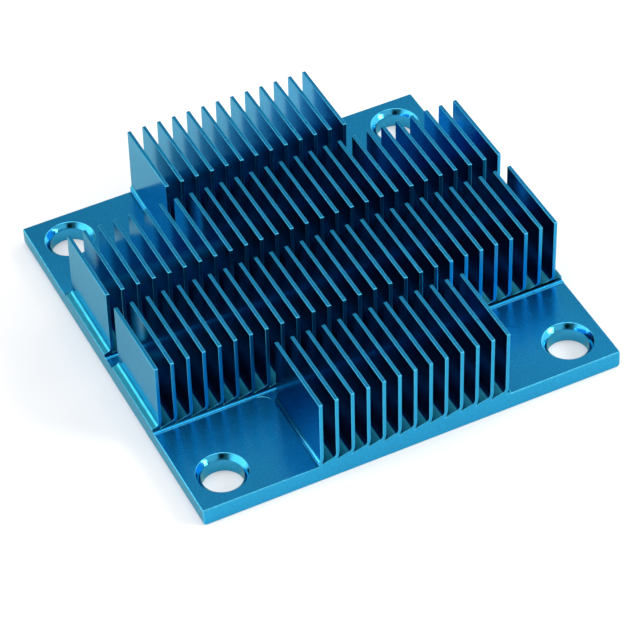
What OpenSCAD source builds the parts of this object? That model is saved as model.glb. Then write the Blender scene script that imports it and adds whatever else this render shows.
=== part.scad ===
// Pin fin heat sink with a milled plate corner at each push pin.
//
// One piece of anodised aluminium. A plate is skived: a blade peels thin fins out of it one after
// another and stands them up, so every fin has a hollow on one side of its root, a swept heel on
// the other, and a shallow sloping floor runs from each heel to the next fin. The fins are then
// cut across into rows of blade-like pins, and the four corners are milled down to a flat floor
// that carries a countersunk mounting hole.
//
// Millimetres. X runs across the fins, Y along them, Z up. The origin is on the underside, at the
// middle of the plate.

/* [Base plate] */
// Width of the plate, across the fins
base_w = 45; // [44:0.5:52]
// Depth of the plate, along the fins
base_d = 45; // [42:0.5:52]
// Thickness of the plate at its milled corners
floor_t = 2.0; // [1.6:0.1:4]
// Radius on the two lower edges that run along the fins
edge_r = 0.4; // [0.2:0.05:0.6]

/* [Fins] */
// Height from the underside to the fin tops
overall_h = 10; // [8:0.5:25]
// Number of fins in a full row
fin_count = 27; // [23:1:29]
// Thickness of a fin
fin_t = 0.37; // [0.3:0.01:0.45]
// From the side of the plate to the middle of the outermost fin
side_margin = 0.92; // [0.85:0.01:1.2]
// Lean of the fins away from the side that the blade came from, degrees
fin_lean = 1.5; // [0:0.1:3]

/* [Skived roots] */
// Height of the lowest line of the skived floor above the milled corners
heel_h = 0.1; // [0.09:0.01:0.3]
// Slope of the skived floor, degrees
skive_angle = 14; // [8:1:16]
// Radius of the hollow where the floor turns up into a fin
root_r = 0.4; // [0.3:0.05:0.6]
// Sideways reach of a fin's heel under the fin
heel_reach = 0.28; // [0.2:0.02:0.4]
// Width of the notch between a heel and the floor
notch_w = 0.3; // [0.2:0.02:0.4]
// Depth of that notch
notch_h = 0.16; // [0.1:0.02:0.24]
// Height over which a fin bends out of its heel
bend_h = 1.2; // [0.8:0.1:1.5]

/* [Cross cuts] */
// Number of rows that the fins are cut into
rows = 4; // [3:1:6]
// Width of a cross cut between two rows
cut_w = 2.0; // [1.4:0.1:2.6]
// Width of the step left at the foot of each row
ledge_w = 0.5; // [0.2:0.05:0.6]
// Height of that step above the milled corners
ledge_h = 0.08; // [0.06:0.01:0.09]
// Height of the channel between two steps above the milled corners
channel_h = 0.03; // [0.02:0.01:0.05]

/* [Corner pockets] */
// Fins cleared from each end of the first and the last row
corner_fins = 7; // [6:1:9]
// From the outermost fin of a short row to the wall of the pocket
side_gap = 0.2; // [0.1:0.05:0.3]
// Radius of the cutter that milled the pockets
cutter_r = 1.5; // [1:0.1:2]

/* [Mounting holes] */
// From the side of the plate to the middle of a hole
hole_inset_x = 3.75; // [3.2:0.05:6]
// From the front or rear of the plate to the middle of a hole
hole_inset_y = 3.75; // [3.2:0.05:6]
// Diameter of the through bore
bore_d = 4.2; // [3:0.1:4.4]
// Width and depth of the 45 degree countersink
sink_w = 0.5; // [0.2:0.02:0.7]

/* [Hidden] */

anodised_blue = [0.10, 0.46, 0.74];
past = 1;                                   // how far a cutter runs past the metal

fin_pitch = (base_w - 2 * side_margin) / (fin_count - 1);
fin_gap = fin_pitch - fin_t;
row_l = (base_d - (rows - 1) * cut_w) / rows;
row_pitch = row_l + cut_w;

// Heights above the underside
heel_z = floor_t + heel_h;
bend_z = heel_z + bend_h;

// Sideways shift of a leaning fin at a height
function lean_at(z) = (z - bend_z) * tan(fin_lean);

// Points along an arc, from angle a0 to angle a1
function arc(centre, r, a0, a1, steps) = [for (k = [0 : steps])
    centre + r * [cos(a0 + (a1 - a0) * k / steps), sin(a0 + (a1 - a0) * k / steps)]];

// The heel's back is an arc tangent to the leaning fin that ends on the lowest line of the floor
bend_r = (pow(heel_reach, 2) + pow(bend_h, 2))
    / (2 * (heel_reach * cos(fin_lean) - bend_h * sin(fin_lean)));
bend_c = [-bend_r * cos(fin_lean), bend_z + bend_r * sin(fin_lean)];
heel_angle = -atan2(bend_c[1] - heel_z, -heel_reach - bend_c[0]);

// The sloping floor starts at the notch's far side
slope_x = notch_w - heel_reach;
slope_z = heel_z + notch_h;

// The hollow is an arc tangent to the sloping floor and to the leaning face of the next fin
hollow_z = (slope_z + root_r / cos(skive_angle) + tan(skive_angle)
        * (fin_gap - slope_x - root_r / cos(fin_lean) - bend_z * tan(fin_lean)))
    / (1 - tan(skive_angle) * tan(fin_lean));
hollow_c = [fin_gap - root_r / cos(fin_lean) + lean_at(hollow_z), hollow_z];

// Outline of the space between two fins, from the top of the fin on its right, down the hollow,
// along the floor, into the notch and up the heel of the fin on its left
groove = concat(
    [[fin_gap + lean_at(overall_h), overall_h]],
    arc(hollow_c, root_r, -fin_lean, skive_angle - 90, 6),
    [[slope_x, slope_z]],
    arc(bend_c, bend_r, heel_angle, -fin_lean, 5),
    [[lean_at(overall_h), overall_h]]
);

// Inner walls of a corner pocket, from the middle of the plate
pocket_x = base_w / 2 - side_margin - corner_fins * fin_pitch + fin_t / 2 + side_gap;
pocket_y = base_d / 2 - row_pitch + ledge_w;

// Comb of fins, with the skiving carried out past both sides of the plate
module comb_section() {
    polygon(concat(
        [[-base_w, overall_h], [-base_w, 0], [base_w, 0], [base_w, overall_h]],
        [for (i = [fin_count - 1 : -1 : -1], p = groove)
            p + [-base_w / 2 + side_margin + i * fin_pitch + fin_t / 2, 0]]
    ));
}

// Bar that the fins are skived from, square above and rounded on its two lower edges
module bar_section() {
    translate([-base_w / 2, edge_r]) square([base_w, overall_h - edge_r]);
    translate([-base_w / 2 + edge_r, 0]) square([base_w - 2 * edge_r, 2 * edge_r]);
    for (side = [-1, 1])
        translate([side * (base_w / 2 - edge_r), edge_r]) circle(r = edge_r, $fn = 32);
}

// Plate and fins in one section across the fins
module skived_section() {
    intersection() {
        bar_section();
        comb_section();
    }
}

// Full-length bar with its fins
module skived_bar() {
    translate([0, base_d / 2, 0])
        rotate([90, 0, 0])
            linear_extrude(base_d) skived_section();
}

// One cut across all the fins: wide down to the step, narrow down to the channel
module cross_cut() {
    for (c = [[cut_w, ledge_h], [cut_w - 2 * ledge_w, channel_h]])
        translate([-base_w / 2 - past, -c[0] / 2, floor_t + c[1]])
            cube([base_w + 2 * past, c[0], overall_h]);
}

module cross_cuts() {
    for (k = [1 : rows - 1])
        translate([0, -base_d / 2 + k * row_pitch - cut_w / 2, 0]) cross_cut();
}

// Outline milled away at the right rear corner, with the cutter's radius in its inner corner
module pocket_outline() {
    reach_x = base_w / 2 + past;
    reach_y = base_d / 2 + past;
    translate([pocket_x + cutter_r, pocket_y])
        square([reach_x - pocket_x - cutter_r, reach_y - pocket_y]);
    translate([pocket_x, pocket_y + cutter_r])
        square([reach_x - pocket_x, reach_y - pocket_y - cutter_r]);
    translate([pocket_x + cutter_r, pocket_y + cutter_r]) circle(r = cutter_r, $fn = 48);
}

// Hole for a push pin, countersunk from above
module mounting_hole() {
    translate([0, 0, -past]) cylinder(h = floor_t + 2 * past, d = bore_d, $fn = 64);
    translate([0, 0, floor_t - sink_w])
        cylinder(h = sink_w, d1 = bore_d, d2 = bore_d + 2 * sink_w, $fn = 64);
}

// Milled corner with its hole, at the right rear
module corner_cut() {
    translate([0, 0, floor_t]) linear_extrude(overall_h) pocket_outline();
    translate([base_w / 2 - hole_inset_x, base_d / 2 - hole_inset_y, 0]) mounting_hole();
}

module corner_cuts() {
    for (mx = [0, 1], my = [0, 1])
        mirror([mx, 0, 0]) mirror([0, my, 0]) corner_cut();
}

module heat_sink() {
    color(anodised_blue)
        difference() {
            skived_bar();
            cross_cuts();
            corner_cuts();
        }
}

heat_sink();
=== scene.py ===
"""Looks for a skived pin fin heat sink: bright blue anodised aluminium on a white sweep.

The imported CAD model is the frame. The one metal piece is a copy of its solid with the sharp
edges broken by a small bevel, and its finish is a procedural anodised metal. Metres, +Z up.
"""

import math

import bmesh
import bpy
from mathutils import Matrix, Vector


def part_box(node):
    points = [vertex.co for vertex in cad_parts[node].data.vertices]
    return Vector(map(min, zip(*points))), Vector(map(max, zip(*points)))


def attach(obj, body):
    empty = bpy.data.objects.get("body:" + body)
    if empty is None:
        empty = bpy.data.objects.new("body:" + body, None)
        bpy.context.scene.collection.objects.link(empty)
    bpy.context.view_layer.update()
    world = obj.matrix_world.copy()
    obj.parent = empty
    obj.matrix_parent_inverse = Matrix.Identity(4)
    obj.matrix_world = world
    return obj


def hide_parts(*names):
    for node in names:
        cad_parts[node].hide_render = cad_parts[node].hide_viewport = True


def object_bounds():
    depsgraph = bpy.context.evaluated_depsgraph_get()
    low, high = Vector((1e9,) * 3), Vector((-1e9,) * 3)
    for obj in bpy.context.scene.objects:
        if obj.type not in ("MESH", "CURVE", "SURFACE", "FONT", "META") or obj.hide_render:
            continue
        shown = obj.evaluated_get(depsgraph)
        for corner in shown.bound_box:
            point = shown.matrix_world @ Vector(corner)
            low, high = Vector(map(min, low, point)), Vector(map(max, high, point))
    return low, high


# Lengths in metres
EDGE_BREAK = 0.00011  # widest bevel, along the plate's outline
FINE_EDGE = 0.4  # share of that bevel on the fins and strips
FIN_CORNER = 0.9  # share of it across the ends of the fin tops
BEVEL_STEPS = 2
SHARP_ANGLE = math.radians(28)  # edges turning more than this are sharp
FLAT_ANGLE = math.radians(0.2)  # faces turning less than this are one flat face
SAME_POINT = 1e-7
ON_OUTLINE = 0.00001  # what is nearer than this to the plate's outline lies on it
ON_FIN_TOP = 0.0001  # what is nearer than this to the highest point is a fin top
LONG_EDGE = 0.0015  # outline edges longer than this get the widest bevel
LOW_EDGE = 0.0006  # and so do all outline edges below this height
PLATE_TOP = 0.0021  # just above the milled plate
CORNER_START = 0.67  # share of the half width beyond which the holes lie

# Parts of a face's unit normal, along Z unless another axis is named
LEVEL = 0.985  # above this either way a face is level
TURNED_HIGH, TURNED_LOW = 0.97, -0.5  # a countersink or bore lies between these
ACROSS = 0.9  # above this along Y either way a face lies across the fins
# Upward slopes past this take the root tint, which is lighter and greener than the skived sides
# as a painted sheen
ROOT_SLOPE = 0.15  # above this a face between the fins is a root and not a side

# The blue dye on each finish, some with painted light in them as noted below, and the tint that
# all of them share at a grazing angle
MILLED_BLUE = (0.010, 0.34, 0.70)
# darker than the milled blue: the fin sides' own dye, partly darkened as painted shade between
# the fins
SKIVED_BLUE_AND_PAINTED_SHADE = (0.010, 0.29, 0.62)
# the skived metal's blue, made lighter and greener on the upward slopes as a painted sheen
ROOT_BLUE_AND_PAINTED_SHEEN = (0.030, 0.41, 0.60)
SAWN_BLUE = (0.014, 0.32, 0.58)
TURNED_BLUE = (0.025, 0.33, 0.56)
# lighter on the broken edges: partly worn, thinner dye, partly a painted highlight along the
# edges
WORN_BLUE_AND_PAINTED_HIGHLIGHT = (0.060, 0.46, 0.70)
GRAZING_TINT = (0.10, 0.60, 0.52, 1.0)

# Finishes of the one metal piece, in the order of its material slots
FINISHES = ("milled", "skived", "root", "sawn", "turned", "edge")

# The grain of the metal: noise scales are in waves per metre
NOISE_DETAIL = 2.0
BROAD_SCALE = 450.0
BUMP_HEIGHT = 0.00001  # metres
UNEVEN_SHARE = 0.4  # swing of the roughness, as a share of it

# The clear oxide skin
COAT_WEIGHT = 0.5
COAT_ROUGHNESS = 0.15
COAT_IOR = 1.35

# Studio
FLOOR_SIZE = 3.0  # metres
FLOOR_WHITE = (0.64, 0.64, 0.64, 1.0)
FLOOR_GLOW = 0.24
TENT_LEVEL = 0.22
LENS_LEVEL = 0.02
WHITE = (1.0, 1.0, 1.0, 1.0)


# ---------------------------------------------------------------------------------------------
# Geometry
# ---------------------------------------------------------------------------------------------
def finish_of(face, box):
    """Which tool left this face: its place in FINISHES.

    Faces on the plate's outline and across the fins are sawn. The countersinks and bores near
    the four corners are turned. Other level faces are milled, the sides of the fins are skived,
    and the slopes between them are their roots.
    """
    n, p = face.normal, face.calc_center_median()
    inset = min(box[1].x - abs(p.x), box[1].y - abs(p.y))
    if inset < ON_OUTLINE:
        return FINISHES.index("sawn")
    in_corner = abs(p.x) > box[1].x * CORNER_START and abs(p.y) > box[1].y * CORNER_START
    if in_corner and n.z < TURNED_HIGH and n.z > TURNED_LOW:
        return FINISHES.index("turned")
    if abs(n.z) > LEVEL:
        return FINISHES.index("milled")
    if abs(n.y) > ACROSS:
        return FINISHES.index("sawn")
    # The fin sides take the skived tint, which is darkened partly as painted shade between the
    # fins
    return FINISHES.index("root" if n.z > ROOT_SLOPE else "skived")


def edge_share(edge, box):
    """Share of the widest bevel that an outer corner gets.

    All of it on the plate's own outline, most of it across the ends of the fin tops, and a fine
    one everywhere else.
    """
    middle = (edge.verts[0].co + edge.verts[1].co) / 2
    inset = min(box[1].x - abs(middle.x), box[1].y - abs(middle.y))
    low_down = middle.z < LOW_EDGE
    long_one = edge.calc_length() > LONG_EDGE and middle.z < PLATE_TOP
    if inset < ON_OUTLINE and (low_down or long_one):
        return 1.0
    across = edge.verts[1].co - edge.verts[0].co
    if middle.z > box[1].z - ON_FIN_TOP and abs(across.x) > abs(across.y):
        return FIN_CORNER
    return FINE_EDGE


def merged_copy(node, name):
    """A copy of a CAD node's mesh with doubled points merged and flat faces whole.

    Every outer corner that turns by more than the sharp angle is marked for the bevel, and every
    inner one is kept as a crisp line.
    """
    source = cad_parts[node]
    box = [Vector(p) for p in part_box(node)]
    bm = bmesh.new()
    bm.from_mesh(source.data)
    bmesh.ops.remove_doubles(bm, verts=bm.verts, dist=SAME_POINT)
    bmesh.ops.dissolve_limit(bm, angle_limit=FLAT_ANGLE, verts=bm.verts, edges=bm.edges)
    for face in bm.faces:
        face.smooth = True
        face.material_index = finish_of(face, box)
    marks = bm.edges.layers.float.new("bevel_weight_edge")
    for edge in bm.edges:
        turn = edge.calc_face_angle_signed(0.0)
        edge[marks] = edge_share(edge, box) if turn > SHARP_ANGLE else 0.0
        edge.smooth = turn > -SHARP_ANGLE
    mesh = bpy.data.meshes.new(name)
    bm.to_mesh(mesh)
    bm.free()
    piece = bpy.data.objects.new(name, mesh)
    bpy.context.collection.objects.link(piece)
    return piece


def break_edges(piece, width):
    """Rounds every marked edge by its share of a width, and keeps the flat faces flat."""
    bevel = piece.modifiers.new("broken_edges", "BEVEL")
    bevel.width = width
    bevel.segments = BEVEL_STEPS
    bevel.limit_method = "WEIGHT"
    bevel.use_clamp_overlap = False
    bevel.loop_slide = False
    # The bevel faces take the edge tint, which is lighter as worn dye and as a painted highlight
    bevel.material = FINISHES.index("edge")
    shading = piece.modifiers.new("flat_faces", "WEIGHTED_NORMAL")
    shading.mode = "FACE_AREA"
    shading.weight = 50
    shading.keep_sharp = True


# ---------------------------------------------------------------------------------------------
# Materials
# ---------------------------------------------------------------------------------------------
class Nodes:
    """A short way to add shader nodes to one tree."""

    def __init__(self, tree):
        self.tree = tree

    def add(self, kind, inputs=None, **settings):
        node = self.tree.nodes.new(kind)
        for key, value in settings.items():
            setattr(node, key, value)
        for key, value in (inputs or {}).items():
            if isinstance(value, bpy.types.NodeSocket):
                self.tree.links.new(value, node.inputs[key])
            else:
                node.inputs[key].default_value = value
        return node

    def link(self, out, into):
        self.tree.links.new(out, into)


def fine_grain():
    """Shader group for the fine grain that etching and anodising leave on the metal.

    A fine noise, stretched along the tool's travel, shades the tint and makes the bumps; a broad
    noise makes the shine a little uneven.
    """
    group = bpy.data.node_groups.new("fine_grain", "ShaderNodeTree")
    socket = group.interface.new_socket
    for label, kind in (
        ("Tint", "NodeSocketColor"),
        ("Shade", "NodeSocketFloat"),
        ("Roughness", "NodeSocketFloat"),
        ("Unevenness", "NodeSocketFloat"),
        ("Travel", "NodeSocketVector"),
        ("Depth", "NodeSocketFloat"),
    ):
        socket(label, in_out="INPUT", socket_type=kind)
    for label, kind in (
        ("Color", "NodeSocketColor"),
        ("Roughness", "NodeSocketFloat"),
        ("Normal", "NodeSocketVector"),
    ):
        socket(label, in_out="OUTPUT", socket_type=kind)
    n = Nodes(group)
    given = n.add("NodeGroupInput").outputs
    coords = n.add("ShaderNodeTexCoord").outputs["Object"]

    def noise(vector, scale):
        return n.add(
            "ShaderNodeTexNoise", {"Vector": vector, "Scale": scale, "Detail": NOISE_DETAIL}
        ).outputs["Fac"]

    def swing(value, by, middle):
        """A noise value less a half, times a factor, plus a middle value."""
        centred = n.add("ShaderNodeMath", {0: value, 1: 0.5}, operation="SUBTRACT")
        return n.add(
            "ShaderNodeMath",
            {0: centred.outputs["Value"], 1: by, 2: middle},
            operation="MULTIPLY_ADD",
        ).outputs["Value"]

    along = n.add(
        "ShaderNodeVectorMath", {0: coords, 1: given["Travel"]}, operation="MULTIPLY"
    ).outputs["Vector"]
    fine = noise(along, 1.0)
    color = n.add(
        "ShaderNodeVectorMath",
        {0: given["Tint"], "Scale": swing(fine, given["Shade"], 1.0)},
        operation="SCALE",
    ).outputs["Vector"]
    rough = swing(noise(coords, BROAD_SCALE), given["Unevenness"], given["Roughness"])
    bump = n.add(
        "ShaderNodeBump",
        {"Strength": given["Depth"], "Distance": BUMP_HEIGHT, "Height": fine},
    ).outputs["Normal"]
    n.add("NodeGroupOutput", {"Color": color, "Roughness": rough, "Normal": bump})
    return group


def anodised(name, grain, tint, roughness, shade, travel, depth):
    """Dyed anodised aluminium: tinted metal with a fine grain under a clear oxide skin. The tint
    holds the dye, and in the skived, root and edge finishes it also holds painted shade, painted
    sheen and painted highlight in turn.
    """
    material = bpy.data.materials.new(name)
    material.use_nodes = True
    tree = material.node_tree
    tree.nodes.clear()
    n = Nodes(tree)
    surface = n.add("ShaderNodeGroup", node_tree=grain)
    for label, value in (
        ("Tint", (*tint, 1.0)),
        ("Shade", shade),
        ("Roughness", roughness),
        ("Unevenness", roughness * UNEVEN_SHARE),
        ("Travel", travel),
        ("Depth", depth),
    ):
        surface.inputs[label].default_value = value
    shader = n.add(
        "ShaderNodeBsdfPrincipled",
        {
            "Base Color": surface.outputs["Color"],
            "Metallic": 1.0,
            "Specular Tint": GRAZING_TINT,
            "Roughness": surface.outputs["Roughness"],
            "Coat Weight": COAT_WEIGHT,
            "Coat Roughness": COAT_ROUGHNESS,
            "Coat IOR": COAT_IOR,
            "Normal": surface.outputs["Normal"],
        },
    )
    out = n.add("ShaderNodeOutputMaterial")
    n.link(shader.outputs["BSDF"], out.inputs["Surface"])
    return material


def white_sweep():
    """Matt white floor with a little glow of its own, which keeps it white in soft light."""
    material = bpy.data.materials.new("white_sweep")
    material.use_nodes = True
    tree = material.node_tree
    tree.nodes.clear()
    n = Nodes(tree)
    matt = n.add("ShaderNodeBsdfDiffuse", {"Color": FLOOR_WHITE})
    lit = n.add("ShaderNodeEmission", {"Color": WHITE, "Strength": FLOOR_GLOW})
    both = n.add("ShaderNodeAddShader")
    n.link(matt.outputs["BSDF"], both.inputs[0])
    n.link(lit.outputs["Emission"], both.inputs[1])
    out = n.add("ShaderNodeOutputMaterial")
    n.link(both.outputs["Shader"], out.inputs["Surface"])
    return material


# ---------------------------------------------------------------------------------------------
# Studio
# ---------------------------------------------------------------------------------------------
def floor(height):
    """Square floor at the object's lowest point."""
    half = FLOOR_SIZE / 2
    corners = [(-half, -half), (half, -half), (half, half), (-half, half)]
    mesh = bpy.data.meshes.new("floor")
    mesh.from_pydata([(x, y, height) for x, y in corners], [], [(0, 1, 2, 3)])
    piece = bpy.data.objects.new("floor", mesh)
    bpy.context.collection.objects.link(piece)
    mesh.materials.append(white_sweep())


def soft_box(name, azimuth, elevation, distance, width, height, radiance, target):
    """Area light that faces the target from a compass direction.

    Its power is its radiance times pi times its area.
    """
    away = towards(azimuth, elevation)
    data = bpy.data.lights.new(name, "AREA")
    data.shape = "RECTANGLE"
    data.size, data.size_y = width, height
    data.energy = radiance * math.pi * width * height
    light = bpy.data.objects.new(name, data)
    light.location = target + away * distance
    light.rotation_euler = away.to_track_quat("Z", "Y").to_euler()
    bpy.context.collection.objects.link(light)


def towards(azimuth, elevation):
    """Unit vector towards a compass direction: azimuth 0 is the front, 90 the right."""
    a, e = math.radians(azimuth), math.radians(elevation)
    return Vector((math.sin(a) * math.cos(e), -math.cos(a) * math.cos(e), math.sin(e)))


def light_tent(patches, lens):
    """White tent round the object: an even level, soft round patches added to it, a dark lens.

    A patch is (azimuth, elevation, inner, outer, level), all but the level in degrees. Inside
    the inner angle it adds its level, and it fades out at the outer angle. The lens takes the
    tent's light away in the same way.
    """
    world = bpy.data.worlds.new("light_tent")
    bpy.context.scene.world = world
    world.use_nodes = True
    n = Nodes(world.node_tree)
    ray = n.add("ShaderNodeTexCoord").outputs["Generated"]

    def share(azimuth, elevation, inner, outer):
        cosine = n.add(
            "ShaderNodeVectorMath",
            {0: ray, 1: towards(azimuth, elevation)},
            operation="DOT_PRODUCT",
        ).outputs["Value"]
        return n.add(
            "ShaderNodeMapRange",
            {
                "Value": cosine,
                "From Min": math.cos(math.radians(outer)),
                "From Max": math.cos(math.radians(inner)),
            },
            interpolation_type="SMOOTHSTEP",
        ).outputs["Result"]

    level = TENT_LEVEL
    for *where, value in patches:
        level = n.add(
            "ShaderNodeMath", {0: share(*where), 1: value, 2: level}, operation="MULTIPLY_ADD"
        ).outputs["Value"]
    level = n.add(
        "ShaderNodeMix", {"Factor": share(*lens), "A": level, "B": LENS_LEVEL}
    ).outputs["Result"]
    background = world.node_tree.nodes["Background"]
    background.inputs["Color"].default_value = WHITE
    n.link(level, background.inputs["Strength"])


def camera(location, azimuth, elevation, roll, lens):
    """Camera that looks along a compass azimuth and down by an elevation."""
    data = bpy.data.cameras.new("camera")
    data.lens = lens
    data.sensor_width = 36.0
    data.clip_start, data.clip_end = 0.01, 10.0
    cam = bpy.data.objects.new("camera", data)
    turn = (
        Matrix.Rotation(math.radians(azimuth), 4, "Z")
        @ Matrix.Rotation(math.radians(90 - elevation), 4, "X")
        @ Matrix.Rotation(math.radians(roll), 4, "Z")
    )
    cam.matrix_world = Matrix.Translation(location) @ turn
    bpy.context.collection.objects.link(cam)
    bpy.context.scene.camera = cam


# ---------------------------------------------------------------------------------------------
# Scene
# ---------------------------------------------------------------------------------------------
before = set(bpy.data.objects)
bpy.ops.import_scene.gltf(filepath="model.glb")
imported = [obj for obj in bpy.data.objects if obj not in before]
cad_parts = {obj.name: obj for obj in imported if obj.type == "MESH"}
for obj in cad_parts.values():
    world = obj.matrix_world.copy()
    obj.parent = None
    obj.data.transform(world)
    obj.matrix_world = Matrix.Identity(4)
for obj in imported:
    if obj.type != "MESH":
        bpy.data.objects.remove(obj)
cad_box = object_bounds()
low, high = Vector(cad_box[0]), Vector(cad_box[1])
middle = (low + high) / 2

camera(
    Vector((-0.09272, -0.21321, 0.22021)),
    azimuth=-23.615,
    elevation=43.758,
    roll=-3.419,
    lens=178.36,
)

metal = merged_copy("heat_sink", "skived_block")
break_edges(metal, EDGE_BREAK)
grain = fine_grain()
# Each finish: its tint, roughness, shade swing, noise scale along X, Y and Z, and bump strength
for finish, tint, roughness, shade, travel, depth in (
    ("milled", MILLED_BLUE, 0.27, 0.6, (5500.0, 5500.0, 5500.0), 0.10),
    # skived tint: dye with painted shade between the fins
    ("skived", SKIVED_BLUE_AND_PAINTED_SHADE, 0.20, 0.6, (4000.0, 1500.0, 6000.0), 0.15),
    # root tint: skived blue with a painted sheen on the upward slopes
    ("root", ROOT_BLUE_AND_PAINTED_SHEEN, 0.24, 0.8, (5000.0, 900.0, 5000.0), 0.15),
    ("sawn", SAWN_BLUE, 0.30, 0.6, (6500.0, 6500.0, 6500.0), 0.18),
    ("turned", TURNED_BLUE, 0.12, 0.3, (6000.0, 6000.0, 6000.0), 0.05),
    # edge tint: worn dye with a painted highlight along the broken edges
    ("edge", WORN_BLUE_AND_PAINTED_HIGHLIGHT, 0.30, 0.8, (3000.0, 3000.0, 3000.0), 0.10),
):
    metal.data.materials.append(anodised(finish, grain, tint, roughness, shade, travel, depth))
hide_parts("heat_sink")
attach(metal, "root")

floor(low.z)
light_tent(
    [
        (-150, 35, 15, 40, 0.33),  # behind, on the left
        (-105, 25, 20, 50, 2.1),  # left side
        (20, 45, 10, 28, 0.85),  # right of the lens
        (90, 15, 25, 50, 1.6),  # right side
        (120, 45, 15, 40, 0.4),  # behind, on the right
        (0, 90, 14, 26, 2.7),  # overhead panel
    ],
    lens=(-24, 46, 8, 12),
)
soft_box(
    "key",
    azimuth=55,
    elevation=31,
    distance=0.8,
    width=0.26,
    height=0.26,
    radiance=18.0,
    target=middle,
)

bpy.context.scene.view_settings.view_transform = "Standard"
